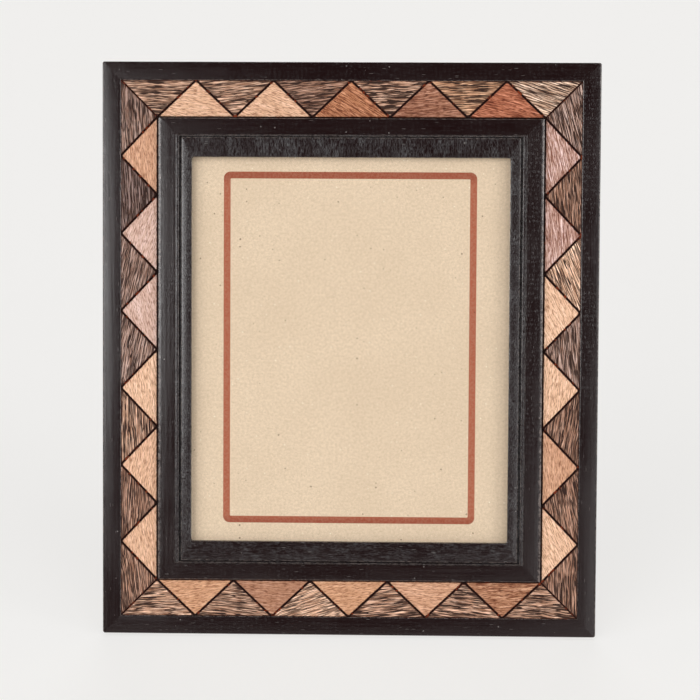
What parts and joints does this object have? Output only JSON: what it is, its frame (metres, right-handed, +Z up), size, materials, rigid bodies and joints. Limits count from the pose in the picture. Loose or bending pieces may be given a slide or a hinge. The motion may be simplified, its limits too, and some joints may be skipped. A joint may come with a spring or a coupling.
{
  "type": "picture frame",
  "caption": "Portrait wooden picture frame with a band of triangular wood inlay, glazed, with a card insert, a back held by turn buttons, hanging rings and an easel leg.",
  "frame": {"origin": "middle of the bounding box, on the table that the frame stands on", "axes": "+Z up, -Y the way the picture faces, +X to the right of someone who looks at the picture"},
  "size_m": [0.3792, 0.1482, 0.427],
  "materials": {
    "black_lacquer": "satin black lacquer",
    "palm_wood": "satin, dark flecked grain",
    "light_wood": "satin, fine grain",
    "clear_glass": "clear",
    "kraft_card": "matte with fine flecks and a printed border line",
    "filler_board": "matte",
    "back_board": "matte hardboard",
    "leg_board": "matte black paint",
    "brass": "rolled",
    "steel": "nickel plated"
  },
  "bodies": {
    "frame": {"rail_bottom": "black_lacquer", "palm_inlay_bottom": "palm_wood", "light_inlay_bottom": "light_wood", "moulding_bottom": "black_lacquer", "slip_bottom": "black_lacquer", "rail_right": "black_lacquer", "palm_inlay_right": "palm_wood", "light_inlay_right": "light_wood", "moulding_right": "black_lacquer", "slip_right": "black_lacquer", "rail_top": "black_lacquer", "palm_inlay_top": "palm_wood", "light_inlay_top": "light_wood", "moulding_top": "black_lacquer", "slip_top": "black_lacquer", "rail_left": "black_lacquer", "palm_inlay_left": "palm_wood", "light_inlay_left": "light_wood", "moulding_left": "black_lacquer", "slip_left": "black_lacquer", "mitre_nails": "steel", "glass_pane": "clear_glass", "insert_card": "kraft_card", "filler_card": "filler_board", "backing_board": "back_board", "button_screws": "brass", "hanger_strap_left": "steel", "hanger_strap_right": "steel", "hanger_screws": "steel", "hinge_leaf_fixed": "steel", "hinge_pin": "steel", "board_rivets": "steel"},
    "leg": {"leg_panel": "leg_board", "hinge_leaf_moving": "steel", "leg_rivets": "steel"},
    "button_bottom_left": {"turn_button_bottom_left": "brass"},
    "button_bottom_right": {"turn_button_bottom_right": "brass"},
    "button_right_lower": {"turn_button_right_lower": "brass"},
    "button_right_upper": {"turn_button_right_upper": "brass"},
    "button_top_right": {"turn_button_top_right": "brass"},
    "button_top_left": {"turn_button_top_left": "brass"},
    "button_left_upper": {"turn_button_left_upper": "brass"},
    "button_left_lower": {"turn_button_left_lower": "brass"},
    "ring_left": {"hanger_ring_left": "steel"},
    "ring_right": {"hanger_ring_right": "steel"}
  },
  "joints": [
    {"name": "leg_hinge", "type": "hinge", "parent": "frame", "child": "leg", "pos_m": [0, 0.00912, 0.25279], "axis": [1, 0, 0], "range_deg": [-28, 0]},
    {"name": "turn_bottom_left", "type": "hinge", "parent": "frame", "child": "button_bottom_left", "pos_m": [-0.085, -0.04928, 0.04337], "axis": [0, 0.9659, -0.2588], "continuous": true},
    {"name": "turn_bottom_right", "type": "hinge", "parent": "frame", "child": "button_bottom_right", "pos_m": [0.085, -0.04928, 0.04337], "axis": [0, 0.9659, -0.2588], "continuous": true},
    {"name": "turn_right_lower", "type": "hinge", "parent": "frame", "child": "button_right_lower", "pos_m": [0.1447, -0.02495, 0.13417], "axis": [0, 0.9659, -0.2588], "continuous": true},
    {"name": "turn_right_upper", "type": "hinge", "parent": "frame", "child": "button_right_upper", "pos_m": [0.1447, 0.01667, 0.28949], "axis": [0, 0.9659, -0.2588], "continuous": true},
    {"name": "turn_top_right", "type": "hinge", "parent": "frame", "child": "button_top_right", "pos_m": [0.085, 0.041, 0.38028], "axis": [0, 0.9659, -0.2588], "continuous": true},
    {"name": "turn_top_left", "type": "hinge", "parent": "frame", "child": "button_top_left", "pos_m": [-0.085, 0.041, 0.38028], "axis": [0, 0.9659, -0.2588], "continuous": true},
    {"name": "turn_left_upper", "type": "hinge", "parent": "frame", "child": "button_left_upper", "pos_m": [-0.1447, 0.01667, 0.28949], "axis": [0, 0.9659, -0.2588], "continuous": true},
    {"name": "turn_left_lower", "type": "hinge", "parent": "frame", "child": "button_left_lower", "pos_m": [-0.1447, -0.02495, 0.13417], "axis": [0, 0.9659, -0.2588], "continuous": true},
    {"name": "ring_swing_left", "type": "hinge", "parent": "frame", "child": "ring_left", "pos_m": [-0.1627, 0.04075, 0.37093], "axis": [1, 0, 0], "range_deg": [-11, 165]},
    {"name": "ring_swing_right", "type": "hinge", "parent": "frame", "child": "ring_right", "pos_m": [0.1627, 0.04075, 0.37093], "axis": [1, 0, 0], "range_deg": [-11, 165]}
  ]
}
